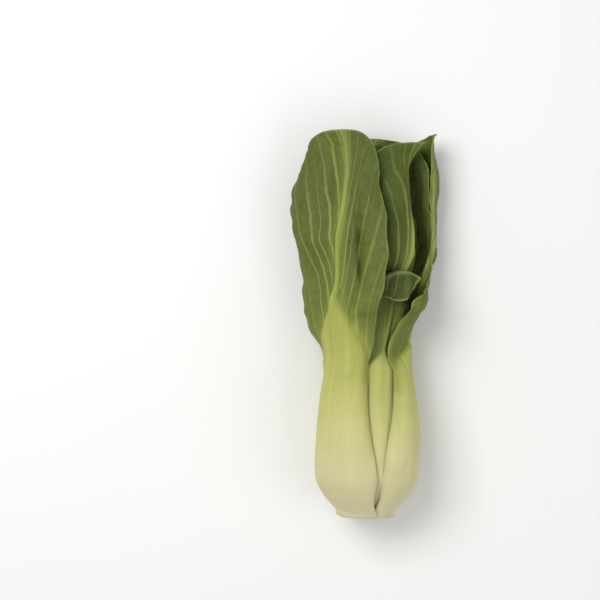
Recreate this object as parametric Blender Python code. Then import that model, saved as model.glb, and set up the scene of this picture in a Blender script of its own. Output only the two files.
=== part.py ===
"""A head of bok choy, lying on its side as cut.

The head's axis runs along Y, with the cut end at -Y and the leaf tips at +Y. +Z faces up, and
the head lies on z = 0. Every leaf is a sheet in a stack that is wrapped round the axis, so a
point of it is given by three values: its turn round the axis (0 faces up, a quarter turn faces
+X), its radius in the stack, and its height along the axis above the cut end. A leaf lies on
the room that the leaves nearer the heart take up, so no two leaves meet.
"""

import math
from collections import namedtuple

import bmesh
import bpy
import numpy as np
from mathutils import Vector

MM = 0.001

# The whole head: its radii and the heights where they hold
HEAD_LENGTH = 262 * MM
CUT_RADIUS = 15 * MM
CUT_CURVE = 14 * MM
CUT_POWER = 1.3
BULB_RADIUS = 33 * MM
BULB_HEIGHT = 50 * MM
NECK_RADIUS = 29.5 * MM
NECK_HEIGHT = 112 * MM
BLADES_RADIUS = 32 * MM
BLADES_HEIGHT = 172 * MM
TIPS_RADIUS = 26 * MM
TIPS_START = 216 * MM

# How wide, how high above its axis and how deep below it the head is, as shares of its radius,
# at the bulb, at the neck and at the blades
WIDE = (1.28, 1.08, 1.80)
ABOVE = (0.87, 0.87, 0.75)
BELOW = (0.94, 0.79, 0.72)
SQUASH_START = 60 * MM
OPEN_SPAN = (104 * MM, 150 * MM)
LEFT_EXTRA = 0.2
LEFT_SPAN = (0 * MM, 40 * MM, 112 * MM, 160 * MM)

# Where the head lies: its underside flattens softly against the floor
AXIS_HEIGHT = 28.8 * MM
FLOOR_START = 25.4 * MM
FLOOR_DEPTH = 3.9 * MM
SIDE_SHIFT = 2.2 * MM

# The stem that the leaves grow from, and the hollow that its line carries on up to the heart
STEM_RADIUS = 11 * MM
STEM_HEIGHT = 24 * MM
STEM_TOP = 20 * MM
STEM_DOME = 0.5 * MM
STEM_SIDES = 24
HEART_RADIUS = 2.5 * MM

# Every leaf: thicknesses and gaps
LAMINA = 0.9 * MM
LEAST_LAMINA = 0.8 * MM
MOST_STRETCH = 2.2
STALK_EDGE = 1.8 * MM
JOIN_GAP = 0.3 * MM
LAYER_GAP = 1.3 * MM
WAVE_LENGTH = 52 * MM
WAVES_RISE = 40 * MM
FOLD_RADIUS = 3.8 * MM
FLARE_SPAN = 30 * MM
TIP_CALM = 26 * MM
TIP_BEND = 0.6

# Every leaf: its stalk grows from a narrower, thinner root, and narrows again to its neck. From
# there a wedge narrows to the midrib, and the green takes over from the wedge at stalk_end.
ROOT_WIDTH = 0.62
ROOT_THICKNESS = 0.4
ROOT_HEIGHT = 28 * MM
NECK_WIDTH = 0.64
RIGHT_NECK_WIDTH = 0.72
WEDGE_SHARE = 0.20
SHORT_WEDGE_SHARE = 0.08
MIDRIB_FOOT = 2.2 * MM
MIDRIB_TIP = 0.8 * MM
MIDRIB_SHARE = 0.8
MIDRIB_HEIGHT = 1.3
STALK_SHARE = 0.78
EDGE_FADE = 20 * MM
THIN_POWER = 0.8
RIDGE_POWER = 0.7

# Every leaf: the outline of its blade, which widens fast at first and rounds off at the tip
WIDEN = 1.80
WIDEN_POWER = 0.85
FULLNESS = 1.32
TIP_POWER = 0.40
EVEN_START = 0.55

# Every leaf: how far its room in the stack reaches past its outline
SHOULDER = 10 * MM
TIP_SHOULDER = 16 * MM
SOFT_SHOULDER = 45 * MM
FLOP_SHOULDER = 34 * MM
SLANT = 7 * MM
CELL_REACH = 2.5 * MM
LEAST_LAYERS = 2.0

# Rows and columns of cells: rows are close together at the bulb and round the tips
FIRST_RUNG = 2.5 * MM
LAST_RUNG = 12 * MM
RUNG_GROWTH = 1.25
TIP_START = 16 * MM
TIP_ROWS = np.array([12 * MM, 5 * MM, 1 * MM])
FOLD_ROWS = np.arange(154, 177, 3) * MM
LEAST_WING = 1.5 * MM
HEART_RANK = 8

LEAF_FIELDS = "name turn lean leans settle length bare stalk thick left right opens flare wave phase"
Leaf = namedtuple("Leaf", LEAF_FIELDS)

# Outermost leaf first. A leaf's turn and how far it leans round the head on the way up are in
# degrees. Then come millimetres: the heights where the lean starts and ends, the whole leaf's
# length, its bare stalk's length, half width and thickness, the blade's width left and right of
# the midrib, the height from where it flares out and how far, and the depth of its waves. The
# waves' phase comes last.
LEAF_TABLE = (
    ("leaf_01", -37, 3, 40, 170, 262, 106, 27.0, 10.5, 42, 35, 160, 1.0, 2.0, 0.4),
    ("leaf_02", 58, 34, 40, 165, 260, 99, 24.0, 10.0, 40, 42, 125, 0.5, 3.0, 3.7),
    ("leaf_03", -112, -4, 40, 170, 254, 104, 23.0, 10.0, 43, 42, 160, 3.0, 2.5, 3.1),
    ("leaf_04", 172, 2, 40, 170, 258, 104, 23.0, 9.5, 44, 44, 160, 0.0, 1.0, 4.4),
    ("leaf_05", 11, 26, 40, 170, 192, 98, 21.0, 9.0, 20, 7, 160, 0.0, 0.5, 0.0),
    ("leaf_06", -156, 3, 40, 170, 247, 98, 20.0, 8.5, 40, 40, 160, 0.0, 2.0, 5.2),
    ("leaf_07", -68, -4, 40, 170, 243, 96, 20.0, 8.5, 40, 38, 160, 0.0, 2.0, 0.9),
    ("leaf_08", 46, 28, 150, 230, 254, 94, 19.0, 8.0, 38, 38, 150, 9.0, 1.5, 2.6),
    ("leaf_09", 122, 2, 40, 170, 236, 88, 18.0, 7.5, 34, 34, 160, 0.0, 2.0, 3.8),
    ("leaf_10", -18, 0, 40, 170, 222, 80, 16.0, 7.0, 30, 30, 160, 0.0, 1.5, 5.7),
    ("leaf_11", -140, 0, 40, 170, 204, 72, 14.0, 6.5, 26, 26, 160, 0.0, 1.5, 1.2),
    ("leaf_12", 84, 0, 40, 170, 176, 62, 11.0, 6.0, 18, 18, 160, 0.0, 1.0, 2.2),
)


def read_leaf(row):
    """One leaf of the table in radians and metres."""
    name, turn, lean, *lengths, phase = row
    return Leaf(name, math.radians(turn), math.radians(lean), *(size * MM for size in lengths), phase)


LEAVES = [read_leaf(row) for row in LEAF_TABLE]
FRONT_LEAF, RIGHT_LEAF, FLOPPED_LEAF, SHADED_LEAF = (LEAVES[index] for index in (0, 1, 4, 7))

# What only one leaf does
CREASE_OFFSET = 14 * MM
CREASE_HEIGHT = 200 * MM
CREASE_SLANT = 0.12
CREASE_WIDTH = 7 * MM
CREASE_RISE = 4 * MM
CREASE_SPAN = (128 * MM, 160 * MM, 205 * MM, 240 * MM)
ROLL_SPAN = (136 * MM, 170 * MM)
ROLL_SHARE = 0.9
PRESSED_SPAN = (8 * MM, 30 * MM)
RAISED_SPAN = (-36 * MM, -6 * MM)
WING_RISE = 4 * MM
WING_SPAN = (106 * MM, 132 * MM, 146 * MM, 182 * MM)
FOLD_HEIGHT = 163 * MM
FOLD_DROP = 9 * MM
FOLD_SPAN = (1 * MM, 14 * MM)
FLOP_END = 142 * MM
FLOPPED_BLUNT = 0.975
FLOP_FADE = 14 * MM


def ladder():
    """Heights of the rows of cells that all leaves share: close together at the bulb."""
    heights = [0.0]
    step = FIRST_RUNG
    while heights[-1] < HEAD_LENGTH:
        heights.append(heights[-1] + step)
        step = min(step * RUNG_GROWTH, LAST_RUNG)
    return np.array(heights)


LADDER = ladder()


def ease(value):
    """Goes smoothly from 0 to 1 as value does."""
    value = np.clip(value, 0.0, 1.0)
    return value * value * (3.0 - 2.0 * value)


def between(value, low, high):
    """Goes smoothly from 0 at low to 1 at high."""
    return ease((value - low) / (high - low))


def girth(along):
    """Mean radius of the closed head at a height."""
    foot = (BULB_RADIUS - CUT_RADIUS) * np.exp(-((np.maximum(along, 0) / CUT_CURVE) ** CUT_POWER))
    neck = (BULB_RADIUS - NECK_RADIUS) * between(along, BULB_HEIGHT, NECK_HEIGHT)
    blades = (BLADES_RADIUS - NECK_RADIUS) * between(along, NECK_HEIGHT, BLADES_HEIGHT)
    tips = (BLADES_RADIUS - TIPS_RADIUS) * between(along, TIPS_START, HEAD_LENGTH)
    return BULB_RADIUS - foot - neck + blades - tips


def spread(along):
    """How wide, how high and how deep the head is at a height, as shares of its radius."""
    squashed = between(along, SQUASH_START, NECK_HEIGHT)
    opened = between(along, *OPEN_SPAN)
    shares = []
    for bulb, neck, blades in (WIDE, ABOVE, BELOW):
        shares.append(bulb + (neck - bulb) * squashed + (blades - neck) * opened)
    return shares


def left_share(along):
    """How much wider the left side of the head is than its right side."""
    start, full, fade, end = LEFT_SPAN
    return 1 + LEFT_EXTRA * between(along, start, full) * (1 - between(along, fade, end))


def place(turn, radius, along):
    """The point in the world of a place in the stack."""
    wide, above, below = spread(along)
    high = 0.5 * (above + below)
    squeeze = (wide - high) / (wide + high)
    angle = turn - 0.5 * squeeze * np.sin(2 * turn)
    side = radius * wide * np.sin(angle)
    side = side * np.where(side < 0, left_share(along), 1.0)
    rise = radius * np.cos(angle)
    rise = rise * np.where(rise > 0, above, below)
    sunk = np.maximum(-rise - FLOOR_START, 0)
    rise = np.where(sunk > 0, -FLOOR_START - FLOOR_DEPTH * np.tanh(sunk / FLOOR_DEPTH), rise)
    height = np.maximum(AXIS_HEIGHT + rise, 0)
    return np.stack([side + SIDE_SHIFT, along - HEAD_LENGTH / 2, height], axis=-1)


def stretch(turn, along):
    """How far apart the head's shape puts two points that are one apart in the stack."""
    wide, above, below = spread(along)
    wide = wide * np.where(np.sin(turn) < 0, left_share(along), 1.0)
    high = 0.5 * (above + below)
    return wide * high / np.hypot(wide * np.cos(turn), high * np.sin(turn))


def rank(leaf):
    """How many leaves are outside this one."""
    return LEAVES.index(leaf)


def root(leaf):
    """Height at which a leaf leaves the stem: two leaves a rung, the inner ones higher up."""
    return LADDER[rank(leaf) // 2]


def heading(leaf, along):
    """Turn of a leaf's midrib at a height."""
    return leaf.turn + leaf.lean * between(along, leaf.leans, leaf.settle)


def reach(leaf, along):
    """Radius at which distances across a leaf are measured."""
    wide, above, below = spread(along)
    share = math.sqrt((len(LEAVES) - rank(leaf) - 0.4) / len(LEAVES))
    return girth(along) * share * (2 * wide + above + below) / 4


def stalk_half(leaf, along):
    """Half width of the whole stalk below the blade."""
    widened = ROOT_WIDTH + (1 - ROOT_WIDTH) * between(along, root(leaf), root(leaf) + ROOT_HEIGHT)
    neck = RIGHT_NECK_WIDTH if leaf is RIGHT_LEAF else NECK_WIDTH
    return leaf.stalk * widened * (1 - (1 - neck) * between(along, ROOT_HEIGHT, leaf.bare))


def wedge(leaf, along):
    """Half width of the pale part: the stalk, then its narrowing wedge, then the midrib."""
    midrib = MIDRIB_FOOT + (MIDRIB_TIP - MIDRIB_FOOT) * between(along, leaf.bare, leaf.length)
    share = SHORT_WEDGE_SHARE if leaf in (RIGHT_LEAF, FLOPPED_LEAF) else WEDGE_SHARE
    narrowed = between(along, leaf.bare, leaf.bare + share * leaf.length)
    return midrib + (stalk_half(leaf, np.minimum(along, leaf.bare)) - midrib) * (1 - narrowed)


def margin(leaf, offset, along):
    """Half width of the leaf's outline on the side where offset is."""
    neck = stalk_half(leaf, leaf.bare)
    part = np.clip((along - leaf.bare) / (leaf.length - leaf.bare), 0.0, 1.0)
    even = 0.5 * (leaf.left + leaf.right)
    side = np.where(offset < 0, leaf.left, leaf.right)
    if leaf is not FLOPPED_LEAF:
        side = side + (even - side) * between(part, EVEN_START, 1.0)
    widened = neck + WIDEN * (FULLNESS * side - neck) * part**WIDEN_POWER
    left_over = 1 - (FLOPPED_BLUNT if leaf is FLOPPED_LEAF else 1.0) * part
    blade = left_over**TIP_POWER * widened
    if leaf is RIGHT_LEAF:
        blade = np.where(offset < 0, blade * (1 - ROLL_SHARE * between(along, *ROLL_SPAN)), blade)
    return np.where(along < leaf.bare, stalk_half(leaf, along), blade)


def thickness(leaf, offset, along):
    """Thickness of a leaf: thick along the middle of the stalk, thin in the blade."""
    grown = ROOT_THICKNESS + (1 - ROOT_THICKNESS) * between(along, root(leaf), root(leaf) + ROOT_HEIGHT)
    rib_end = MIDRIB_SHARE * leaf.length
    thinned = np.clip((along - ROOT_HEIGHT) / (rib_end - ROOT_HEIGHT), 0.0, 1.0)
    middle = LAMINA + (leaf.thick - LAMINA) * grown * (1 - thinned) ** THIN_POWER
    middle = np.minimum(middle, LAMINA + MIDRIB_HEIGHT * wedge(leaf, along))
    fade = 1 - between(along, leaf.bare - EDGE_FADE, leaf.bare + EDGE_FADE)
    edge = LAMINA + (STALK_EDGE - LAMINA) * fade
    ridge = np.clip(1 - (offset / wedge(leaf, along)) ** 2, 0.0, 1.0) ** RIDGE_POWER
    return edge + np.maximum(middle - edge, 0) * ridge


def calmed(leaf, along):
    """1 at a leaf's tip, where its waves have run out, and 0 below."""
    return between(along, leaf.length - TIP_CALM, leaf.length)


def flare(leaf, offset, along):
    """How far the upper part of a leaf stands out, beyond the head's own girth."""
    opened = between(along, leaf.opens, leaf.opens + FLARE_SPAN) * (1 - TIP_BEND * calmed(leaf, along))
    if leaf is RIGHT_LEAF:
        opened = opened * (1 - between(offset, *PRESSED_SPAN))
    if leaf is SHADED_LEAF:
        opened = opened * between(offset, *RAISED_SPAN)
    return leaf.flare * opened


def lift(leaf, offset, along):
    """How far a leaf stands off what it lies on: waves at its margins and the flare of its tip."""
    edge = np.clip(np.abs(offset) / np.maximum(margin(leaf, offset, along), MM), 0.0, 1.0)
    side = np.where(offset < 0, 0.0, 2.1)
    ripple = 0.5 + 0.5 * np.sin(2 * math.pi * along / WAVE_LENGTH + leaf.phase + side)
    waved = between(along, leaf.bare, leaf.bare + WAVES_RISE) * (1 - calmed(leaf, along))
    total = leaf.wave * edge**3 * ripple * waved + flare(leaf, offset, along)
    if leaf is FRONT_LEAF:
        start, full, fade, end = CREASE_SPAN
        creased = between(along, start, full) * (1 - between(along, fade, end))
        valley = CREASE_OFFSET + CREASE_SLANT * (CREASE_HEIGHT - along)
        total = total + CREASE_RISE * creased * between(offset, valley, valley + CREASE_WIDTH)
        start, full, fade, end = WING_SPAN
        winged = between(along, start, full) * (1 - between(along, fade, end))
        total = total + WING_RISE * winged * np.where(offset < 0, edge * edge, 0.0)
    return total


def top(leaf):
    """Height of the highest point of a leaf as it lies."""
    return FOLD_HEIGHT + FOLD_RADIUS if leaf is FLOPPED_LEAF else leaf.length


def outline(leaf, offset, along):
    """Half width that is kept clear for a leaf: more than it needs where its margin slants."""
    lower, upper = np.maximum(along - SLANT, root(leaf)), np.minimum(along + SLANT, leaf.length)
    return np.maximum(margin(leaf, offset, lower), margin(leaf, offset, upper))


def padding(leaf, offset, along):
    """Share of the spare room over a leaf: it fades slowly, so that the stack stays smooth."""
    sideways = 1 - ease((np.abs(offset) - margin(leaf, offset, along)) / SOFT_SHOULDER + 0.3)
    return sideways * (1 - between(along, top(leaf) - SOFT_SHOULDER, top(leaf) + SHOULDER))


def cover(leaf, offset, along):
    """1 where a leaf lies, falling to 0 over a shoulder round its outline."""
    sideways = 1 - ease((np.abs(offset) - outline(leaf, offset, along)) / SHOULDER)
    from_root = between(along, root(leaf) - FIRST_RUNG, root(leaf))
    shoulder = FLOP_SHOULDER if leaf is FLOPPED_LEAF else TIP_SHOULDER
    return sideways * from_root * (1 - between(along, top(leaf), top(leaf) + shoulder))


def offset_at(leaf, turn, along):
    """Distance across a leaf, from its midrib, of a turn round the head."""
    away = (turn - heading(leaf, along) + math.pi) % (2 * math.pi) - math.pi
    return away * reach(leaf, along)


def room(leaf, turn, along):
    """Depth that a leaf takes up in the stack."""
    offset = offset_at(leaf, turn, along)
    depth = lift(leaf, offset, along) + thickness(leaf, offset, along) + LAYER_GAP
    if leaf is FLOPPED_LEAF:
        depth = depth + (2 * FOLD_RADIUS + LAMINA) * between(along, FLOP_END - FLOP_FADE, FLOP_END)
    return depth / stretch(turn, along) * cover(leaf, offset, along)


def stem_radius(along):
    """Radius of the stem, and above it of the hollow heart."""
    return HEART_RADIUS + (STEM_RADIUS - HEART_RADIUS) * (1 - between(along, 0, STEM_HEIGHT))


def spare_room():
    """What the head's girth leaves over at each height: a share for each leaf, the rest a hollow."""
    heights = np.arange(0, HEAD_LENGTH + LAST_RUNG, 2 * MM)
    turns = np.linspace(-math.pi, math.pi, 72, endpoint=False)
    along, turn = np.meshgrid(heights, turns, indexing="ij")
    filled = stem_radius(along) + LAYER_GAP
    layers = np.zeros_like(along)
    for leaf in LEAVES:
        offset = offset_at(leaf, turn, along)
        flared = flare(leaf, offset, along) / stretch(turn, along) * cover(leaf, offset, along)
        filled = filled + room(leaf, turn, along) - flared
        layers = layers + padding(leaf, offset, along)
    over = np.maximum(girth(heights) - filled.mean(axis=1), 0.0)
    layers = layers.mean(axis=1)
    spare = over / np.maximum(layers, LEAST_LAYERS)
    return heights, spare, over - spare * layers


SPARE_HEIGHTS, SPARE_SHARE, HOLLOW = spare_room()


def bed(leaf, turn, along):
    """Radius that a leaf lies at: the stem, then every leaf nearer the heart."""
    radius = stem_radius(along) + LAYER_GAP + np.interp(along, SPARE_HEIGHTS, HOLLOW)
    spare = np.interp(along, SPARE_HEIGHTS, SPARE_SHARE)
    for inner in LEAVES[rank(leaf) + 1 :]:
        padded = spare * padding(inner, offset_at(inner, turn, along), along)
        radius = radius + room(inner, turn, along) + padded
    return radius


def fold_line(offset):
    """Height of the fold of the flopped leaf: it slants down on the right."""
    return FOLD_HEIGHT - FOLD_DROP * between(offset, *FOLD_SPAN)


def flopped(offset, along, depth):
    """Carries the end of the flopped leaf over its fold and back down in front."""
    fold = fold_line(offset)
    past = np.maximum(along - fold, 0)
    bent = np.minimum(past / FOLD_RADIUS, math.pi)
    hang = (past - bent * FOLD_RADIUS) * (fold - FLOP_END) / (FOLD_HEIGHT - FLOP_END)
    bend = FOLD_RADIUS - depth
    out = FOLD_RADIUS - bend * np.cos(bent)
    return out, np.minimum(along, fold) + bend * np.sin(bent) - hang


def leaf_points(leaf, offset, along):
    """The inner and the outer point of a leaf at a distance across and a height."""
    level = np.minimum(along, fold_line(offset)) if leaf is FLOPPED_LEAF else along
    turn = heading(leaf, level) + offset / reach(leaf, level)
    beside = CELL_REACH / reach(leaf, level)
    under = [bed(leaf, turn + side * beside, level) for side in (-1, 0, 1)]
    inner = np.maximum.reduce(under) + lift(leaf, offset, along) / stretch(turn, level)
    depth = thickness(leaf, offset, along)
    if leaf is FLOPPED_LEAF:
        scale = stretch(turn, level)
        near, near_along = flopped(offset, along, 0.0)
        far, far_along = flopped(offset, along, depth)
        return place(turn, inner + near / scale, near_along), place(turn, inner + far / scale, far_along)
    return place(turn, inner, along), place(turn, inner + depth / stretch(turn, level), along)


def rung_near(height):
    """The shared height nearest to a height."""
    return LADDER[np.argmin(np.abs(LADDER - height))]


def grid(columns, rows):
    """A sheet of cells, two units wide and high."""
    mesh = bmesh.new()
    bmesh.ops.create_grid(mesh, x_segments=columns, y_segments=rows, size=1.0)
    return mesh


def thicken(mesh, columns, rows, surface):
    """Puts a sheet of cells in place and doubles it into an inner and an outer layer."""
    bmesh.ops.triangulate(mesh, faces=mesh.faces[:], quad_method="FIXED")
    places = mesh.verts.layers.int.new("place")
    verts = mesh.verts[:]
    column = np.array([round((vert.co.x + 1) / 2 * columns) for vert in verts])
    row = np.array([round((vert.co.y + 1) / 2 * rows) for vert in verts])
    inner, outer = surface(column, row)
    for index, vert in enumerate(verts):
        vert[places] = index
        vert.co = inner[index]
    mesh.normal_update()
    far = []
    for index, vert in enumerate(verts):
        step = Vector(outer[index] - inner[index])
        deep = abs(step.dot(vert.normal))
        point = vert.co + step * min(max(LEAST_LAMINA / deep, 1.0), MOST_STRETCH)
        far.append((point.x, point.y, max(point.z, 0.0)))
    doubled = bmesh.ops.extrude_face_region(mesh, geom=mesh.faces[:], use_keep_orig=True)
    for item in doubled["geom"]:
        if isinstance(item, bmesh.types.BMVert):
            item.co = far[item[places]]
    bmesh.ops.recalc_face_normals(mesh, faces=mesh.faces[:])
    if mesh.calc_volume(signed=True) < 0:
        bmesh.ops.reverse_faces(mesh, faces=mesh.faces[:])


def stalk_end(leaf):
    """Height at which the pale wedge of a leaf gives way to the blade."""
    return rung_near(STALK_SHARE * leaf.length)


def cells_across(leaf):
    """Columns of cells in a stalk and in each wing of a blade: fewer in the heart."""
    return (6, 5) if rank(leaf) < HEART_RANK else (4, 3)


def stalk_mesh(leaf):
    """The pale part of a leaf: its stalk and the wedge that runs up into the blade."""
    end = stalk_end(leaf)
    heights = np.append(LADDER[(LADDER >= root(leaf)) & (LADDER < end - MM)], end - JOIN_GAP)
    columns, rows = cells_across(leaf)[0], len(heights) - 1

    def surface(column, row):
        along = heights[row]
        offset = (2 * column / columns - 1) * wedge(leaf, along)
        return leaf_points(leaf, offset, along)

    mesh = grid(columns, rows)
    thicken(mesh, columns, rows, surface)
    return mesh


def blade_mesh(leaf):
    """The green part of a leaf: a wing on each side of the wedge, joined above its end."""
    start, notch = rung_near(leaf.bare), stalk_end(leaf)
    shared = LADDER[(LADDER >= start) & (LADDER < leaf.length - TIP_START)]
    if leaf is FLOPPED_LEAF:
        shared = np.append(shared[shared < FOLD_ROWS[0] - MM], FOLD_ROWS)
    heights = np.concatenate([shared, leaf.length - TIP_ROWS])
    wing = cells_across(leaf)[1]
    rows, columns = len(heights) - 1, 2 * wing + 1

    def surface(column, row):
        along = heights[row]
        left = column <= wing
        out = np.where(left, wing - column, column - wing - 1) / wing
        side = np.where(left, -1.0, 1.0)
        inside = wedge(leaf, along) + JOIN_GAP
        outside = np.maximum(margin(leaf, side, along), inside + LEAST_WING)
        return leaf_points(leaf, side * (inside + (outside - inside) * out), along)

    mesh = grid(columns, rows)
    notch_rows = np.count_nonzero(heights < notch - 0.5 * MM)
    notch_y = 2 * notch_rows / rows - 1
    cut = []
    for face in mesh.faces:
        middle = face.calc_center_median()
        if abs(middle.x) < 1.0 / columns and middle.y < notch_y:
            cut.append(face)
    bmesh.ops.delete(mesh, geom=cut, context="FACES")
    thicken(mesh, columns, rows, surface)
    return mesh


def stem_mesh():
    """The stem: a low dome, cut across at its foot."""
    mesh = bmesh.new()
    heights = np.linspace(0, STEM_TOP, 7)
    profile = [mesh.verts.new((0, 0, 0))]
    profile += [mesh.verts.new((stem_radius(height), height, 0)) for height in heights]
    profile.append(mesh.verts.new((0, STEM_TOP + STEM_DOME, 0)))
    edges = [mesh.edges.new(pair) for pair in zip(profile, profile[1:])]
    turned = {"axis": (0, 1, 0), "steps": STEM_SIDES, "angle": 2 * math.pi, "use_merge": True}
    bmesh.ops.spin(mesh, geom=profile + edges, **turned)
    bmesh.ops.remove_doubles(mesh, verts=mesh.verts[:], dist=1e-6)
    for vert in mesh.verts:
        turn, radius = math.atan2(vert.co.x, vert.co.z), math.hypot(vert.co.x, vert.co.z)
        vert.co = place(turn, radius, vert.co.y)
    bmesh.ops.recalc_face_normals(mesh, faces=mesh.faces[:])
    return mesh


def material(name, colour, roughness):
    """A plain Principled material."""
    made = bpy.data.materials.new(name)
    made.use_nodes = True
    shader = made.node_tree.nodes["Principled BSDF"]
    shader.inputs["Base Color"].default_value = (*colour, 1.0)
    shader.inputs["Roughness"].default_value = roughness
    shader.inputs["Metallic"].default_value = 0.0
    return made


def add_object(name, mesh, finish):
    """Turns a finished mesh into a named object in the scene."""
    data = bpy.data.meshes.new(name)
    mesh.to_mesh(data)
    mesh.free()
    data.materials.append(finish)
    data.shade_smooth()
    data.set_sharp_from_angle(angle=math.radians(50))
    bpy.context.scene.collection.objects.link(bpy.data.objects.new(name, data))


def build():
    """Empties the scene and makes the stem, then each leaf's stalk and blade."""
    for item in list(bpy.data.objects):
        bpy.data.objects.remove(item)
    stem_finish = material("stem_cream", (0.69, 0.65, 0.43), 0.5)
    add_object("base", stem_mesh(), stem_finish)
    for leaf in LEAVES:
        stalk_finish = material(leaf.name + "_pale_green", (0.55, 0.56, 0.23), 0.4)
        blade_finish = material(leaf.name + "_green", (0.13, 0.18, 0.05), 0.45)
        add_object(leaf.name + "_stalk", stalk_mesh(leaf), stalk_finish)
        add_object(leaf.name + "_blade", blade_mesh(leaf), blade_finish)


build()
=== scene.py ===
"""A head of bok choy, lying on its side on a pale table."""

import math
from collections import namedtuple

import bmesh
import bpy
import numpy as np
from mathutils import Euler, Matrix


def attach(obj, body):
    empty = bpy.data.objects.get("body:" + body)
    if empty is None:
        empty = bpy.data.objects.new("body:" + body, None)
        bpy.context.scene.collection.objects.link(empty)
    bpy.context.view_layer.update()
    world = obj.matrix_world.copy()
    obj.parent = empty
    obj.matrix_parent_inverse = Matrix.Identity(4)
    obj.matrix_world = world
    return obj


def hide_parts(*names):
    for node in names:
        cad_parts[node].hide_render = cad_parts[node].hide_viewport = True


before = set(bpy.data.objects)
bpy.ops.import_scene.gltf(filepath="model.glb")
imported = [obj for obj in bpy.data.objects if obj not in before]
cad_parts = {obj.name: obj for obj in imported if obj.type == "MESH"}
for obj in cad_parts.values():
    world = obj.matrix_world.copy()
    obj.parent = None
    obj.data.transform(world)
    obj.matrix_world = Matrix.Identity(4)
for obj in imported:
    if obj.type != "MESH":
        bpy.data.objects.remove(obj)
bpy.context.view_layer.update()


# The camera looks straight down on the head, which is the way the photograph looks at it: the
# leaf tips point up the picture. The lens is long, so the head is nearly free of perspective.
MM = 0.001
PICTURE_WIDTH = 405 * MM
PICTURE_MIDDLE = (-43.3 * MM, 15.5 * MM)
HEAD_MIDDLE_HEIGHT = 35 * MM
CAMERA_DISTANCE = 1.5
SENSOR_WIDTH = 36.0
NEAREST_SEEN = 50 * MM

lens = bpy.data.cameras.new("camera")
lens.sensor_width = SENSOR_WIDTH
lens.lens = SENSOR_WIDTH * CAMERA_DISTANCE / PICTURE_WIDTH
lens.clip_start = NEAREST_SEEN
camera = bpy.data.objects.new("camera", lens)
camera.location = (*PICTURE_MIDDLE, HEAD_MIDDLE_HEIGHT + CAMERA_DISTANCE)
bpy.context.scene.collection.objects.link(camera)
bpy.context.scene.camera = camera
bpy.context.scene.view_settings.view_transform = "Standard"


# The stem is the short, woody foot of the head that every leaf grows from. A knife cuts it
# across, so it ends in a flat cream face with a darker ring just inside its skin.

# The whole head's section at each height: its mean radius, and how wide, high and deep it is
HEAD_LENGTH = 262 * MM
CUT_RADIUS = 15 * MM
CUT_CURVE = 14 * MM
CUT_POWER = 1.3
BULB_RADIUS = 33 * MM
BULB_HEIGHT = 50 * MM
NECK_RADIUS = 29.5 * MM
NECK_HEIGHT = 112 * MM
BLADES_RADIUS = 32 * MM
BLADES_HEIGHT = 172 * MM
TIPS_RADIUS = 26 * MM
TIPS_START = 216 * MM
WIDE = (1.28, 1.08, 1.80)
ABOVE = (0.87, 0.87, 0.75)
BELOW = (0.94, 0.79, 0.72)
SQUASH_START = 60 * MM
OPEN_SPAN = (104 * MM, 150 * MM)
LEFT_EXTRA = 0.2
LEFT_SPAN = (0 * MM, 40 * MM, 112 * MM, 160 * MM)

# Where the head lies: its underside flattens softly against the table
AXIS_HEIGHT = 28.8 * MM
FLOOR_START = 25.4 * MM
FLOOR_DEPTH = 3.9 * MM
SIDE_SHIFT = 2.2 * MM

# The stem itself, a little wider where the stalks join it, and the hollow heart above it
STEM_RADIUS = 11 * MM
STEM_HEIGHT = 24 * MM
STEM_TOP = 20 * MM
STEM_DOME = 0.6 * MM
HEART_RADIUS = 2.5 * MM
CUT_SHARE = 0.97
CUT_BEVEL = 0.3 * MM
COLLAR = 2.4 * MM
COLLAR_SPAN = (0.5 * MM, 3 * MM, 10 * MM, 20 * MM)
FOOT_POINTS = 14
SIDE_POINTS = 30
TURN_STEPS = 96
MERGE_DISTANCE = 0.001 * MM

# The finish of the cut: how far out its ring lies, as shares of the stem's radius
CUT_CREAM = "#DDD7AE"
CUT_SHADE = "#CFC892"
RING_GREEN = "#A9AE6B"
DRIED_BROWN = "#9C7F4B"
RING_SPAN = (0.74, 0.80, 0.84, 0.92)
RING_WANDER = 0.06
GRAIN_FINENESS = 900.0
CLOUD_FINENESS = 160.0
CUT_RELIEF = 0.25 * MM


def ease(value):
    """Goes smoothly from 0 to 1 as value does."""
    value = np.clip(value, 0.0, 1.0)
    return value * value * (3.0 - 2.0 * value)


def between(value, low, high):
    """Goes smoothly from 0 at low to 1 at high."""
    return ease((value - low) / (high - low))


def girth(along):
    """Mean radius of the closed head at a height above the cut."""
    foot = (BULB_RADIUS - CUT_RADIUS) * np.exp(-((np.maximum(along, 0) / CUT_CURVE) ** CUT_POWER))
    neck = (BULB_RADIUS - NECK_RADIUS) * between(along, BULB_HEIGHT, NECK_HEIGHT)
    blades = (BLADES_RADIUS - NECK_RADIUS) * between(along, NECK_HEIGHT, BLADES_HEIGHT)
    tips = (BLADES_RADIUS - TIPS_RADIUS) * between(along, TIPS_START, HEAD_LENGTH)
    return BULB_RADIUS - foot - neck + blades - tips


def spread(along):
    """How wide, how high and how deep the head is at a height, as shares of its radius."""
    squashed = between(along, SQUASH_START, NECK_HEIGHT)
    opened = between(along, *OPEN_SPAN)
    return [
        bulb + (neck - bulb) * squashed + (blades - neck) * opened
        for bulb, neck, blades in (WIDE, ABOVE, BELOW)
    ]


def left_share(along):
    """How much wider the left side of the head is than its right side."""
    start, full, fade, end = LEFT_SPAN
    return 1 + LEFT_EXTRA * between(along, start, full) * (1 - between(along, fade, end))


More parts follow.
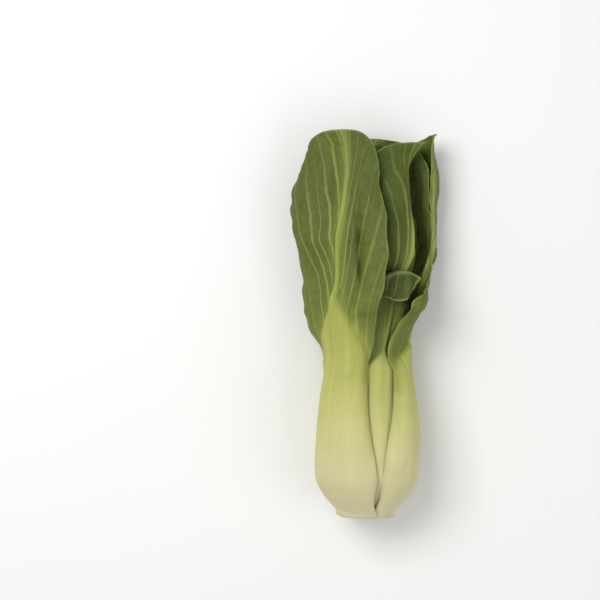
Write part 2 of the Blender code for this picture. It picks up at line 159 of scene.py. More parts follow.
def place(turn, radius, along):
    """The point in the world at a turn round the head's axis, a radius and a height."""
    wide, above, below = spread(along)
    high = 0.5 * (above + below)
    squeeze = (wide - high) / (wide + high)
    angle = turn - 0.5 * squeeze * np.sin(2 * turn)
    side = radius * wide * np.sin(angle)
    side = side * np.where(side < 0, left_share(along), 1.0)
    rise = radius * np.cos(angle)
    rise = rise * np.where(rise > 0, above, below)
    sunk = np.maximum(-rise - FLOOR_START, 0)
    rise = np.where(sunk > 0, -FLOOR_START - FLOOR_DEPTH * np.tanh(sunk / FLOOR_DEPTH), rise)
    height = np.maximum(AXIS_HEIGHT + rise, 0.0)
    return np.stack([side + SIDE_SHIFT, along - HEAD_LENGTH / 2, height], axis=-1)


def stem_radius(along):
    """Radius of the stem, and above it of the hollow heart."""
    return HEART_RADIUS + (STEM_RADIUS - HEART_RADIUS) * (1 - between(along, 0, STEM_HEIGHT))


def linear(sheet_colour):
    """A colour written as six hex digits, as the shader's linear light."""
    parts = [int(sheet_colour[start : start + 2], 16) / 255 for start in (1, 3, 5)]
    light = [part / 12.92 if part <= 0.04045 else ((part + 0.055) / 1.055) ** 2.4 for part in parts]
    return (*light, 1.0)


class Field:
    """A value that changes over a surface: a shader socket that takes part in sums."""

    def __init__(self, finish, socket):
        self.finish = finish
        self.socket = socket

    def sum_with(self, operation, first, second=0.0, third=0.0):
        return self.finish.node("ShaderNodeMath", {"operation": operation}, {0: first, 1: second, 2: third})

    def __add__(self, other):
        return self.sum_with("ADD", self, other)

    def __radd__(self, other):
        return self.sum_with("ADD", other, self)

    def __sub__(self, other):
        return self.sum_with("SUBTRACT", self, other)

    def __rsub__(self, other):
        return self.sum_with("SUBTRACT", other, self)

    def __mul__(self, other):
        return self.sum_with("MULTIPLY", self, other)

    def __rmul__(self, other):
        return self.sum_with("MULTIPLY", other, self)

    def __truediv__(self, other):
        return self.sum_with("DIVIDE", self, other)

    def __abs__(self):
        return self.sum_with("ABSOLUTE", self)

    def fraction(self):
        return self.sum_with("FRACT", self)

    def at_most(self, other):
        return self.sum_with("MINIMUM", self, other)

    def at_least(self, other):
        return self.sum_with("MAXIMUM", self, other)

    def rise(self, low, high):
        """Goes smoothly from 0 at low to 1 at high."""
        values = {"Value": self, "From Min": low, "From Max": high}
        return self.finish.node("ShaderNodeMapRange", {"interpolation_type": "SMOOTHSTEP"}, values)


class Finish:
    """A material in the making: every node comes from its node method."""

    def __init__(self, name):
        self.material = bpy.data.materials.new(name)
        self.material.use_nodes = True
        self.tree = self.material.node_tree
        self.tree.nodes.clear()

    def node(self, kind, settings, values, output=0):
        """A node with its settings and its sockets filled in, and one of its outputs."""
        made = self.tree.nodes.new(kind)
        for name, setting in settings.items():
            if name == "stops":
                ramp = made.color_ramp
                while len(ramp.elements) < len(setting):
                    ramp.elements.new(1.0)
                for element, (position, colour) in zip(ramp.elements, setting):
                    element.position = position
                    element.color = colour
            else:
                setattr(made, name, setting)
        for name, value in values.items():
            if isinstance(value, Field):
                self.tree.links.new(value.socket, made.inputs[name])
            else:
                made.inputs[name].default_value = value
        return None if output is None else Field(self, made.outputs[output])

    def attribute(self, name):
        """A number that the mesh carries at each of its points."""
        return self.node("ShaderNodeAttribute", {"attribute_name": name}, {}, "Fac")

    def vector(self, x, y, z):
        """Three numbers as one vector."""
        return self.node("ShaderNodeCombineXYZ", {}, {0: x, 1: y, 2: z})

    def noise(self, where, scale, detail=2.0):
        """Soft random variation round 0.5."""
        return self.node("ShaderNodeTexNoise", {}, {"Vector": where, "Scale": scale, "Detail": detail})

    def blend(self, share, first, second):
        """One colour going over to another."""
        return self.node("ShaderNodeMix", {"data_type": "RGBA"}, {0: share, 6: first, 7: second}, 2)

    def laid_over(self, colour, layers):
        """A colour with others laid over it in turn, each with its own share."""
        for share, over in layers:
            colour = self.blend(share, colour, linear(over))
        return colour

    def bump(self, height, distance, strength=1.0):
        """A surface that stands up and dips as a height does."""
        values = {"Height": height, "Distance": distance, "Strength": strength}
        return self.node("ShaderNodeBump", {}, values)

    def surface(self, sockets):
        """Ends the material in a Principled shader with these sockets."""
        shader = self.node("ShaderNodeBsdfPrincipled", {}, sockets)
        self.node("ShaderNodeOutputMaterial", {}, {"Surface": shader}, None)
        return self.material


def stem_finish():
    """Cream flesh with faint rings on the cut, a little browned where the air has dried it."""
    finish = Finish("cut_stem")
    place_on = finish.node("ShaderNodeTexCoord", {}, {}, "Object")
    grain = finish.noise(place_on, GRAIN_FINENESS, 3.0)
    cloud = finish.noise(place_on, CLOUD_FINENESS)
    outward = finish.attribute("outward")
    start, full, fade, end = RING_SPAN
    from_middle = outward + RING_WANDER * cloud
    ring = from_middle.rise(start, full) * (1 - from_middle.rise(fade, end))
    colour = finish.laid_over(linear(CUT_CREAM), (
        (cloud.rise(0.3, 0.75), CUT_SHADE),
        (0.55 * ring, RING_GREEN),
        (0.5 * grain.rise(0.55, 0.8) * outward.rise(0.5, 1.0), DRIED_BROWN),
    ))
    raised = finish.bump(grain + ring, CUT_RELIEF)
    return finish.surface({"Base Color": colour, "Roughness": 0.55, "Normal": raised})


def numbers_on(data, name, values):
    """Gives a mesh a number at each of its points, for its material to read."""
    data.attributes.new(name, "FLOAT", "POINT").data.foreach_set("value", values)


def finished(name, data, material, nodes):
    """Puts a mesh in the scene with its material, in the place of its CAD nodes."""
    data.materials.append(material)
    data.shade_smooth()
    piece = bpy.data.objects.new(name, data)
    bpy.context.scene.collection.objects.link(piece)
    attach(piece, "root")
    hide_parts(*nodes)


def stem_mesh():
    """The stem: a turned profile with a flat cut foot, pressed to the head's own section."""
    shape = bmesh.new()
    start, full, fade, end = COLLAR_SPAN
    foot = [(radius, 0.0) for radius in np.linspace(0.0, STEM_RADIUS * CUT_SHARE, FOOT_POINTS)]
    side = []
    for height in np.linspace(0, STEM_TOP, SIDE_POINTS):
        grown = between(height, start, full) * (1 - between(height, fade, end))
        side.append((float(stem_radius(height) + COLLAR * grown), height + CUT_BEVEL))
    profile = [shape.verts.new((radius, height, 0)) for radius, height in foot + side]
    profile.append(shape.verts.new((0, STEM_TOP + STEM_DOME, 0)))
    edges = [shape.edges.new(pair) for pair in zip(profile, profile[1:])]
    turned = {"axis": (0, 1, 0), "steps": TURN_STEPS, "angle": 2 * math.pi, "use_merge": True}
    bmesh.ops.spin(shape, geom=profile + edges, **turned)
    bmesh.ops.remove_doubles(shape, verts=shape.verts[:], dist=MERGE_DISTANCE)
    outward = [min(math.hypot(vert.co.x, vert.co.z) / STEM_RADIUS, 1.0) for vert in shape.verts]
    for vert in shape.verts:
        turn, radius = math.atan2(vert.co.x, vert.co.z), math.hypot(vert.co.x, vert.co.z)
        vert.co = place(turn, radius, vert.co.y)
    bmesh.ops.recalc_face_normals(shape, faces=shape.faces[:])
    data = bpy.data.meshes.new("base")
    shape.to_mesh(data)
    shape.free()
    numbers_on(data, "outward", outward)
    return data


finished("base", stem_mesh(), stem_finish(), ["base"])


# The leaves of the heart are the youngest, folded round each other over a small hollow. The head
# is laid from here outwards, so the shapes of all twelve leaves are settled first: each is a
# crisp stalk that thins to a midrib, with a soft blade on it.

# Every leaf: the thicknesses that show, and those that the stack is built up from
LAMINA = 0.7 * MM
RIM_LAMINA = 0.4 * MM
RIM_POWER = 14
STALK_EDGE = 1.0 * MM
SOLID_LAMINA = 0.9 * MM
SOLID_EDGE = 1.8 * MM
LAYER_GAP = 1.3 * MM

# Every leaf: the waves of its margins, and the way its upper part flares out
WAVE_LENGTH = 52 * MM
WAVES_RISE = 40 * MM
WAVE_SHIFT = 2.1
FLARE_SPAN = 30 * MM
TIP_CALM = 26 * MM
TIP_BEND = 0.6

# Every leaf: its stalk grows from a narrower, thinner root, and narrows again to its neck. From
# there a wedge narrows to the midrib.
ROOT_WIDTH = 0.62
ROOT_THICKNESS = 0.4
ROOT_HEIGHT = 28 * MM
NECK_WIDTH = 0.64
RIGHT_NECK_WIDTH = 0.72
WEDGE_SHARE = 0.20
SHORT_WEDGE_SHARE = 0.08
MIDRIB_FOOT = 2.2 * MM
MIDRIB_TIP = 0.8 * MM
MIDRIB_SHARE = 0.8
MIDRIB_HEIGHT = 1.3
EDGE_FADE = 20 * MM
THIN_POWER = 0.8
RIDGE_POWER = 0.7

# Every leaf: the outline of its blade, which widens fast at first and rounds off at the tip
WIDEN = 1.80
WIDEN_POWER = 0.85
FULLNESS = 1.32
TIP_POWER = 0.40
EVEN_START = 0.55
LEAST_BLADE = 0.3 * MM
JAG_DEPTH = 0.7 * MM
JAG_LENGTH = 23 * MM
JAG_RISE = (4 * MM, 30 * MM)
JAG_END = 9 * MM

# Every leaf: how far its room in the stack reaches past its outline, and how it lies there
SHOULDER = 10 * MM
TIP_SHOULDER = 16 * MM
SOFT_SHOULDER = 45 * MM
FLOP_SHOULDER = 34 * MM
SLANT = 7 * MM
LEAST_LAYERS = 2.0
PADDING_START = 0.3
SPARE_STEP = 2 * MM
SPARE_TURNS = 72
PAST_TIPS = 12 * MM
SPANNED_STEPS = (9, 6)
BLUR_PASSES = (70, 30)
DRAPE_SINK = 0.45 * MM
DRAPE_LEAST = 0.8 * MM
DRAPE_MORE = 9 * MM
DRAPE_FADE = (45 * MM, 10 * MM)
SETTLED = 1.2 * MM
BLADE_SETTLED = 0.8 * MM
TIP_SHORT = 1 * MM
TIP_SHORT_SPAN = 30 * MM

# Two leaves leave the stem at each rung, the inner ones higher up
ROOT_STEP = 2.5 * MM
RUNG_GROWTH = 1.25
RUNGS = [ROOT_STEP * (RUNG_GROWTH**rung - 1) / (RUNG_GROWTH - 1) for rung in range(6)]

# The front leaf: its crease, the patches of painted shade at the bottom of it, its raised left
# wing, and the thinner edge of its stalk near the foot
CREASE_OFFSET = 14 * MM
CREASE_HEIGHT = 200 * MM
CREASE_SLANT = 0.12
CREASE_WIDTH = 7 * MM
CREASE_RISE = 4 * MM
CREASE_SPAN = (128 * MM, 160 * MM, 205 * MM, 240 * MM)
SHADE_SPAN = (150 * MM, 164 * MM, 192 * MM, 212 * MM)
SHADE_WIDTH = 2.3 * MM
SHADE_SHIFT = 1.6 * MM
SHADE_RAGS = ((0.6 * MM, 6.5 * MM), (0.4 * MM, 3.1 * MM))
PATCH_MIDDLE = 188 * MM
PATCH_LENGTH = 20 * MM
PATCH_MEAN = 0.68
WING_RISE = 4 * MM
WING_SPAN = (106 * MM, 132 * MM, 146 * MM, 182 * MM)
THIN_EDGE = 0.6 * MM
THIN_EDGE_SPAN = (35 * MM, 95 * MM)

# The right-hand leaf's left margin rolls back, and its right half is pressed in. The shaded leaf
# stands out on its left.
ROLL_SPAN = (142 * MM, 173 * MM)
ROLL_SHARE = 0.9
PRESSED_SPAN = (8 * MM, 30 * MM)
RAISED_SPAN = (-36 * MM, -6 * MM)

# The flopped leaf: its fold, the wing below the fold on the right, and the end that hangs down
FOLD_RADIUS = 3.8 * MM
FOLD_HEIGHT = 163 * MM
FOLD_DROP = 9 * MM
FOLD_SPAN = (1 * MM, 14 * MM)
FOLD_ARCH = 5 * MM
ARCH_SPAN = (2 * MM, 15 * MM)
LOW_WING = 6.5 * MM
LOW_WING_SPAN = (103 * MM, 118 * MM, 140 * MM, 153 * MM)
FLOP_END = 142 * MM
FLOP_FADE = 14 * MM
FLOPPED_BLUNT = 0.975
TIP_ROUND = 4.5 * MM
TIP_ROUND_SPAN = 13 * MM
TIP_CENTRE = -3 * MM
TIP_HALF = 5.5 * MM
CRUMPLES = ((0.45, 1.5 * MM, 0.5 * MM), (-0.8, 2.3 * MM, 0.25 * MM))
CRUMPLE_SPAN = (5 * MM, 14 * MM)
# Where the painted highlight lies on the rolled ridge, and how wide it is there and at every tip end
RIDGE_TURN = 0.8
RIDGE_WIDTH = 1.6 * MM
TIP_RIM = 1.2 * MM

# The veins: how they fan out from the midrib, and how far apart they start on it, in mm
VEIN_FAN = 0.0045
VEIN_BEND = 1.7
VEIN_STEP = 34.0
VEIN_WANDER = ((5.0, 0.055, 1), (3.5, 0.117, 2))
RIGHT_VEINS = 9.0
VEIN_ROOT = 0.35
VEIN_FADE = 0.6
MAJOR_WIDTH = 5.0
MAJOR_HEIGHT = 0.34 * MM
MINOR_WIDTH = 4.0
MINOR_HEIGHT = 0.10 * MM

# The fine relief between the veins, on the stalk and along the margins
RIBS_END = (-1 * MM, 6 * MM)
VEINS_CLEAR = (5 * MM, 16 * MM)
PUCKER_DEPTH = 0.18 * MM
PUCKER_CHANGE = 0.12 * MM
CELL_SIZE = (16 * MM, 19 * MM)
CELL_HEIGHT = 0.25 * MM
BLISTER_SIZE = (7 * MM, 8 * MM)
BLISTER_HEIGHT = 0.16 * MM
UNEVEN_SIZE = (34 * MM, 80 * MM)
UNEVEN_HEIGHT = 0.30 * MM
RIBS = ((5.3, 0.04 * MM), (3.1, 0.03 * MM), (8.7, 0.06 * MM))
RIBS_RISE = (8 * MM, 40 * MM)
RIB_SWAY = 0.35
RIB_SWAY_LENGTH = 41 * MM
FRILL_HEIGHT = 0.9 * MM
FRILL_LENGTH = 17 * MM
FRILL_POWER = 6
FRILL_RISE = (6 * MM, 40 * MM)
FRILL_SHIFT = 1.9
FRILL_SWAY = 1.2
FRILL_SWAY_LENGTH = 11 * MM

# The smooth waves that stand for chance, and the spacing of a leaf's rows and columns of points
WANDER_WAVES = 5
WANDER_MOST = 3.2
GOLDEN_ANGLE = 2.399
FIRST_PITCH = 0.7
PITCH_STEP = 0.23
END_GAP = 0.02 * MM
ROW_POWER = 1.35
MIDDLE_COLUMNS = 0.55

# Outermost leaf first. A leaf's turn and how far it leans round the head on the way up are in
# degrees. Then come millimetres: the heights where the lean starts and ends, the whole leaf's
# length, its bare stalk's length, half width and thickness, the blade's width left and right of
# the midrib, the height from where it flares out and how far, and the depth of its waves. The
# waves' phase comes last.
LEAF_FIELDS = "name turn lean leans settle length bare stalk thick left right opens flare wave phase"
Leaf = namedtuple("Leaf", LEAF_FIELDS)
LEAF_TABLE = (
    ("leaf_01", -37, 3, 40, 170, 262, 106, 27.0, 10.5, 42, 35, 160, 1.0, 2.0, 0.4),
    ("leaf_02", 58, 34, 40, 165, 260, 99, 24.0, 10.0, 40, 42, 125, 0.5, 3.0, 3.7),
    ("leaf_03", -112, -4, 40, 170, 254, 104, 23.0, 10.0, 43, 42, 160, 3.0, 2.5, 3.1),
    ("leaf_04", 172, 2, 40, 170, 258, 104, 23.0, 9.5, 44, 44, 160, 0.0, 1.0, 4.4),
    ("leaf_05", 11, 26, 40, 170, 192, 98, 21.0, 9.0, 20, 9.5, 160, 0.0, 0.5, 0.0),
    ("leaf_06", -156, 3, 40, 170, 247, 98, 20.0, 8.5, 40, 40, 160, 0.0, 2.0, 5.2),
    ("leaf_07", -68, -4, 40, 170, 243, 96, 20.0, 8.5, 40, 38, 160, 0.0, 2.0, 0.9),
    ("leaf_08", 46, 28, 150, 230, 254, 94, 19.0, 8.0, 38, 38, 150, 9.0, 1.5, 2.6),
    ("leaf_09", 122, 2, 40, 170, 236, 88, 18.0, 7.5, 34, 34, 160, 0.0, 2.0, 3.8),
    ("leaf_10", -18, 0, 40, 170, 222, 80, 16.0, 7.0, 30, 30, 160, 0.0, 1.5, 5.7),
    ("leaf_11", -140, 0, 40, 170, 204, 72, 14.0, 6.5, 26, 26, 160, 0.0, 1.5, 1.2),
    ("leaf_12", 84, 0, 40, 170, 176, 62, 11.0, 6.0, 18, 18, 160, 0.0, 1.0, 2.2),
)
LEAVES = [
    Leaf(name, math.radians(turn), math.radians(lean), *(size * MM for size in sizes), phase)
    for name, turn, lean, *sizes, phase in LEAF_TABLE
]
FRONT_LEAF, RIGHT_LEAF, FLOPPED_LEAF, SHADED_LEAF = (LEAVES[index] for index in (0, 1, 4, 7))


def rank(leaf):
    """How many leaves are outside this one."""
    return LEAVES.index(leaf)


def root(leaf):
    """Height at which a leaf leaves the stem."""
    return RUNGS[rank(leaf) // 2]


def heading(leaf, along):
    """Turn of a leaf's midrib at a height."""
    return leaf.turn + leaf.lean * between(along, leaf.leans, leaf.settle)


def reach(leaf, along):
    """Radius at which distances across a leaf are measured."""
    wide, above, below = spread(along)
    share = math.sqrt((len(LEAVES) - rank(leaf) - 0.4) / len(LEAVES))
    return girth(along) * share * (2 * wide + above + below) / 4


def stretch(turn, along):
    """How far apart the head's shape puts two points that are one apart in the stack."""
    wide, above, below = spread(along)
    wide = wide * np.where(np.sin(turn) < 0, left_share(along), 1.0)
    high = 0.5 * (above + below)
    return wide * high / np.hypot(wide * np.cos(turn), high * np.sin(turn))


def stalk_half(leaf, along):
    """Half width of the stalk below the blade."""
    widened = ROOT_WIDTH + (1 - ROOT_WIDTH) * between(along, root(leaf), root(leaf) + ROOT_HEIGHT)
    neck = RIGHT_NECK_WIDTH if leaf is RIGHT_LEAF else NECK_WIDTH
    return leaf.stalk * widened * (1 - (1 - neck) * between(along, ROOT_HEIGHT, leaf.bare))


def wedge(leaf, along):
    """Half width of the pale part: the stalk, then its narrowing wedge, then the midrib."""
    midrib = MIDRIB_FOOT + (MIDRIB_TIP - MIDRIB_FOOT) * between(along, leaf.bare, leaf.length)
    share = SHORT_WEDGE_SHARE if leaf in (RIGHT_LEAF, FLOPPED_LEAF) else WEDGE_SHARE
    narrowed = between(along, leaf.bare, leaf.bare + share * leaf.length)
    return midrib + (stalk_half(leaf, np.minimum(along, leaf.bare)) - midrib) * (1 - narrowed)


def margin(leaf, offset, along):
    """Half width of the leaf on the side where offset is."""
    neck = stalk_half(leaf, leaf.bare)
    part = np.clip((along - leaf.bare) / (leaf.length - leaf.bare), 0.0, 1.0)
    even = 0.5 * (leaf.left + leaf.right)
    side = np.where(offset < 0, leaf.left, leaf.right)
    if leaf is not FLOPPED_LEAF:
        side = side + (even - side) * between(part, EVEN_START, 1.0)
    else:
        start, full, fade, end = LOW_WING_SPAN
        low_wing = between(along, start, full) * (1 - between(along, fade, end))
        side = side + LOW_WING * low_wing * (offset > 0)
    widened = neck + WIDEN * (FULLNESS * side - neck) * part**WIDEN_POWER
    left_over = 1 - (FLOPPED_BLUNT if leaf is FLOPPED_LEAF else 1.0) * part
    blade = left_over**TIP_POWER * widened
    if leaf is RIGHT_LEAF:
        blade = np.where(offset < 0, blade * (1 - ROLL_SHARE * between(along, *ROLL_SPAN)), blade)
    return np.where(along < leaf.bare, stalk_half(leaf, along), blade)


def thickness(leaf, offset, along, lamina, stalk_edge):
    """Thickness of a leaf: thick along the middle of the stalk, thin in the blade."""
    grown = ROOT_THICKNESS + (1 - ROOT_THICKNESS) * between(along, root(leaf), root(leaf) + ROOT_HEIGHT)
    rib_end = MIDRIB_SHARE * leaf.length
    thinned = np.clip((along - ROOT_HEIGHT) / (rib_end - ROOT_HEIGHT), 0.0, 1.0)
    middle = lamina + (leaf.thick - lamina) * grown * (1 - thinned) ** THIN_POWER
    middle = np.minimum(middle, lamina + MIDRIB_HEIGHT * wedge(leaf, along))
    fade = 1 - between(along, leaf.bare - EDGE_FADE, leaf.bare + EDGE_FADE)
    edge = lamina + (stalk_edge - lamina) * fade
    ridge = np.clip(1 - (offset / wedge(leaf, along)) ** 2, 0.0, 1.0) ** RIDGE_POWER
    return edge + np.maximum(middle - edge, 0) * ridge


def valley(along):
    """Distance from the front leaf's midrib to the bottom of its crease."""
    return CREASE_OFFSET + CREASE_SLANT * (CREASE_HEIGHT - along)


def creased(along):
    """How strong the front leaf's crease is at a height."""
    start, full, fade, end = CREASE_SPAN
    return between(along, start, full) * (1 - between(along, fade, end))


def calmed(leaf, along):
    """1 at a leaf's tip, where its waves have run out, and 0 below."""
    return between(along, leaf.length - TIP_CALM, leaf.length)


def flare(leaf, offset, along):
    """How far the upper part of a leaf stands out, beyond the head's own girth."""
    opened = between(along, leaf.opens, leaf.opens + FLARE_SPAN) * (1 - TIP_BEND * calmed(leaf, along))
    if leaf is RIGHT_LEAF:
        opened = opened * (1 - between(offset, *PRESSED_SPAN))
    if leaf is SHADED_LEAF:
        opened = opened * between(offset, *RAISED_SPAN)
    return leaf.flare * opened


def lift(leaf, offset, along):
    """How far a leaf stands off what it lies on: waves at its margins, and its flare."""
    edge = np.clip(np.abs(offset) / np.maximum(margin(leaf, offset, along), MM), 0.0, 1.0)
    side = np.where(offset < 0, 0.0, WAVE_SHIFT)
    ripple = 0.5 + 0.5 * np.sin(2 * math.pi * along / WAVE_LENGTH + leaf.phase + side)
    waved = between(along, leaf.bare, leaf.bare + WAVES_RISE) * (1 - calmed(leaf, along))
    total = leaf.wave * edge**3 * ripple * waved + flare(leaf, offset, along)
    if leaf is FRONT_LEAF:
        bottom = valley(along)
        total = total + CREASE_RISE * creased(along) * between(offset, bottom, bottom + CREASE_WIDTH)
        start, full, fade, end = WING_SPAN
        winged = between(along, start, full) * (1 - between(along, fade, end))
        total = total + WING_RISE * winged * np.where(offset < 0, edge * edge, 0.0)
    return total


def top(leaf):
    """Height of the highest point of a leaf as it lies."""
    return FOLD_HEIGHT + FOLD_RADIUS if leaf is FLOPPED_LEAF else leaf.length


def padding(leaf, offset, along):
    """Share of the spare room over a leaf: it fades slowly, so that the stack stays smooth."""
    sideways = 1 - ease((np.abs(offset) - margin(leaf, offset, along)) / SOFT_SHOULDER + PADDING_START)
    return sideways * (1 - between(along, top(leaf) - SOFT_SHOULDER, top(leaf) + SHOULDER))


def cover(leaf, offset, along):
    """1 where a leaf lies, falling to 0 over a shoulder round its outline."""
    lower, upper = np.maximum(along - SLANT, root(leaf)), np.minimum(along + SLANT, leaf.length)
    outline = np.maximum(margin(leaf, offset, lower), margin(leaf, offset, upper))
    sideways = 1 - ease((np.abs(offset) - outline) / SHOULDER)
    from_root = between(along, root(leaf) - ROOT_STEP, root(leaf))
    shoulder = FLOP_SHOULDER if leaf is FLOPPED_LEAF else TIP_SHOULDER
    return sideways * from_root * (1 - between(along, top(leaf), top(leaf) + shoulder))


def offset_at(leaf, turn, along):
    """Distance across a leaf, from its midrib, of a turn round the head."""
    away = (turn - heading(leaf, along) + math.pi) % (2 * math.pi) - math.pi
    return away * reach(leaf, along)


def room(leaf, turn, along):
    """Depth that a leaf takes up in the stack."""
    offset = offset_at(leaf, turn, along)
    solid = thickness(leaf, offset, along, SOLID_LAMINA, SOLID_EDGE)
    depth = lift(leaf, offset, along) + solid + LAYER_GAP
    if leaf is FLOPPED_LEAF:
        depth = depth + (2 * FOLD_RADIUS + SOLID_LAMINA) * between(along, FLOP_END - FLOP_FADE, FLOP_END)
    return depth / stretch(turn, along) * cover(leaf, offset, along)


def spare_room():
    """What the head's girth leaves over at each height: a share for each leaf, the rest a hollow."""
    heights = np.arange(0, HEAD_LENGTH + PAST_TIPS, SPARE_STEP)
    turns = np.linspace(-math.pi, math.pi, SPARE_TURNS, endpoint=False)
    along, turn = np.meshgrid(heights, turns, indexing="ij")
    filled = stem_radius(along) + LAYER_GAP
    layers = np.zeros_like(along)
    for leaf in LEAVES:
        offset = offset_at(leaf, turn, along)
        flared = flare(leaf, offset, along) / stretch(turn, along) * cover(leaf, offset, along)
        filled = filled + room(leaf, turn, along) - flared
        layers = layers + padding(leaf, offset, along)
    over = np.maximum(girth(heights) - filled.mean(axis=1), 0.0)
    layers = layers.mean(axis=1)
    spare = over / np.maximum(layers, LEAST_LAYERS)
    return heights, spare, over - spare * layers


SPARE_HEIGHTS, SPARE_SHARE, HOLLOW = spare_room()


def bed(leaf, turn, along):
    """Radius that a leaf lies at: the stem, then every leaf nearer the heart."""
    radius = stem_radius(along) + LAYER_GAP + np.interp(along, SPARE_HEIGHTS, HOLLOW)
    spare = np.interp(along, SPARE_HEIGHTS, SPARE_SHARE)
    for inner in LEAVES[rank(leaf) + 1 :]:
        padded = spare * padding(inner, offset_at(inner, turn, along), along)
        radius = radius + room(inner, turn, along) + padded
    return radius


def blurred(values, axis, passes):
    """A sheet of values, made softer along one of its directions."""
    for _ in range(passes):
        padded = np.concatenate([values.take([0], axis), values, values.take([-1], axis)], axis)
        size = values.shape[axis]
        before, after = padded.take(range(size), axis), padded.take(range(2, size + 2), axis)
        values = 0.25 * before + 0.5 * values + 0.25 * after
    return values


def spanned(values, axis, steps):
    """A sheet of values whose hollows narrower than some steps are filled level."""
    size = values.shape[axis]
    for choose in (np.maximum, np.minimum):
        for _ in range(steps):
            padded = np.concatenate([values.take([0], axis), values, values.take([-1], axis)], axis)
            near = choose(padded.take(range(size), axis), padded.take(range(2, size + 2), axis))
            values = choose(values, near)
    return values


def draped(leaf, radius, along):
    """A leaf spans the small hollows and steps of the bed that it lies on, except at its tip."""
    uneven = radius - girth(along)
    for axis, steps in enumerate(SPANNED_STEPS):
        uneven = spanned(uneven, axis, steps)
    for axis, passes in enumerate(BLUR_PASSES):
        uneven = blurred(uneven, axis, passes)
    start, end = (leaf.length - below for below in DRAPE_FADE)
    most = DRAPE_LEAST + DRAPE_MORE * (1 - between(along, start, end))
    return np.clip(girth(along) + uneven, radius - DRAPE_SINK, radius + most)


def wander(across, along, seed):
    """A smooth value from -1 to 1 that changes over about one unit and looks random."""
    total = 0.0
    for step in range(WANDER_WAVES):
        angle = seed * 1.7 + step * GOLDEN_ANGLE
        pitch = FIRST_PITCH + PITCH_STEP * step
        run = across * math.cos(angle) + along * math.sin(angle)
        total = total + np.sin(2 * math.pi * pitch * run + seed * 3.1 + step * 1.3)
    return total / WANDER_MOST


def vein_start(leaf, offset, along):
    """Height in mm, on a leaf as long as the head, where the vein through a point leaves the midrib."""
    scale = leaf.length / HEAD_LENGTH * MM
    away = np.abs(offset) / scale
    start = along / scale - (away / VEIN_FAN) ** (1 / VEIN_BEND)
    uneven = sum(far * np.sin(start * rate + times * leaf.phase) for far, rate, times in VEIN_WANDER)
    return start + np.where(offset < 0, 0.0, RIGHT_VEINS) + uneven


def vein_ridge(start, step, width):
    """1 on a vein and 0 between veins, for veins whose starts are a step apart."""
    away = np.abs((start / step + 0.5) % 1.0 - 0.5) * step
    return np.exp(-((away / width) ** 2))


def relief(leaf, offset, along, outline):
    """How far the surface stands up: ribs on the stalk, veins on the blade, and its puckers."""
    beside = np.abs(offset) - wedge(leaf, along)
    on_blade, clear = between(beside, *RIBS_END), between(beside, *VEINS_CLEAR)

    def lumps(size, seed):
        return wander(offset / size[0], along / size[1], leaf.phase + seed)

    start = vein_start(leaf, offset, along)
    inward = 1 - VEIN_FADE * np.clip(np.abs(offset) / outline, 0, 1)
    major = MAJOR_HEIGHT * vein_ridge(start, VEIN_STEP, MAJOR_WIDTH)
    minor = MINOR_HEIGHT * vein_ridge(start, VEIN_STEP / 2, MINOR_WIDTH)
    veins = major * (VEIN_ROOT + (1 - VEIN_ROOT) * clear) + minor * clear
    cells = lumps(CELL_SIZE, 2.0)
    pucker = np.sin(math.pi * start / (VEIN_STEP / 2)) ** 2 * clear
    puckered = CELL_HEIGHT * cells - (PUCKER_DEPTH + PUCKER_CHANGE * cells) * pucker
    blade = veins * inward + puckered + BLISTER_HEIGHT * lumps(BLISTER_SIZE, 5.0)

    ribs = 0.0
    for pitch, height in RIBS:
        sway = RIB_SWAY * np.sin(along / RIB_SWAY_LENGTH + leaf.phase + pitch)
        ribs = ribs + height * np.cos(2 * math.pi * (offset / (pitch * MM) + sway))
    first, full = RIBS_RISE
    ribs = ribs * between(along, root(leaf) + first, root(leaf) + full)
    stalk = ribs + UNEVEN_HEIGHT * lumps(UNEVEN_SIZE, 8.0)
    return stalk * (1 - on_blade) + blade * on_blade


def edge_ripple(leaf, offset, along, outline):
    """Small frills that free margins have on top of their long waves."""
    edge = np.clip(np.abs(offset) / outline, 0, 1) ** FRILL_POWER
    first, full = FRILL_RISE
    on_blade = between(along, leaf.bare + first, leaf.bare + full)
    side = np.where(offset < 0, 0.0, FRILL_SHIFT)
    sway = FRILL_SWAY * np.sin(along / FRILL_SWAY_LENGTH)
    run = 2 * math.pi * along / FRILL_LENGTH + 2 * leaf.phase + side + sway
    return FRILL_HEIGHT * edge * (0.5 + 0.5 * np.sin(run)) * on_blade


def fold_line(offset):
    """Height of the fold of the flopped leaf: it is arched, and falls furthest on the right."""
    arched = FOLD_ARCH * between(-offset, *ARCH_SPAN)
    return FOLD_HEIGHT - FOLD_DROP * between(offset, *FOLD_SPAN) - arched


def flopped(offset, along, depth):
    """Carries the end of the flopped leaf over its fold and back down in front."""
    fold = fold_line(offset)
    past = np.maximum(along - fold, 0)
    bent = np.minimum(past / FOLD_RADIUS, math.pi)
    hang = (past - bent * FOLD_RADIUS) * (fold - FLOP_END) / (FOLD_HEIGHT - FLOP_END)
    bend = FOLD_RADIUS - depth
    crumple = sum(high * np.sin((offset + lean * past) / long) for lean, long, high in CRUMPLES)
    out = FOLD_RADIUS - bend * np.cos(bent) + crumple * between(past, *CRUMPLE_SPAN)
    corner = np.minimum(np.abs(offset - TIP_CENTRE) / TIP_HALF, 1.0) ** 2
    end = FLOPPED_LEAF.length
    rounded = TIP_ROUND * corner * between(along, end - TIP_ROUND_SPAN, end)
    return out, np.minimum(along, fold) + bend * np.sin(bent) - hang + rounded


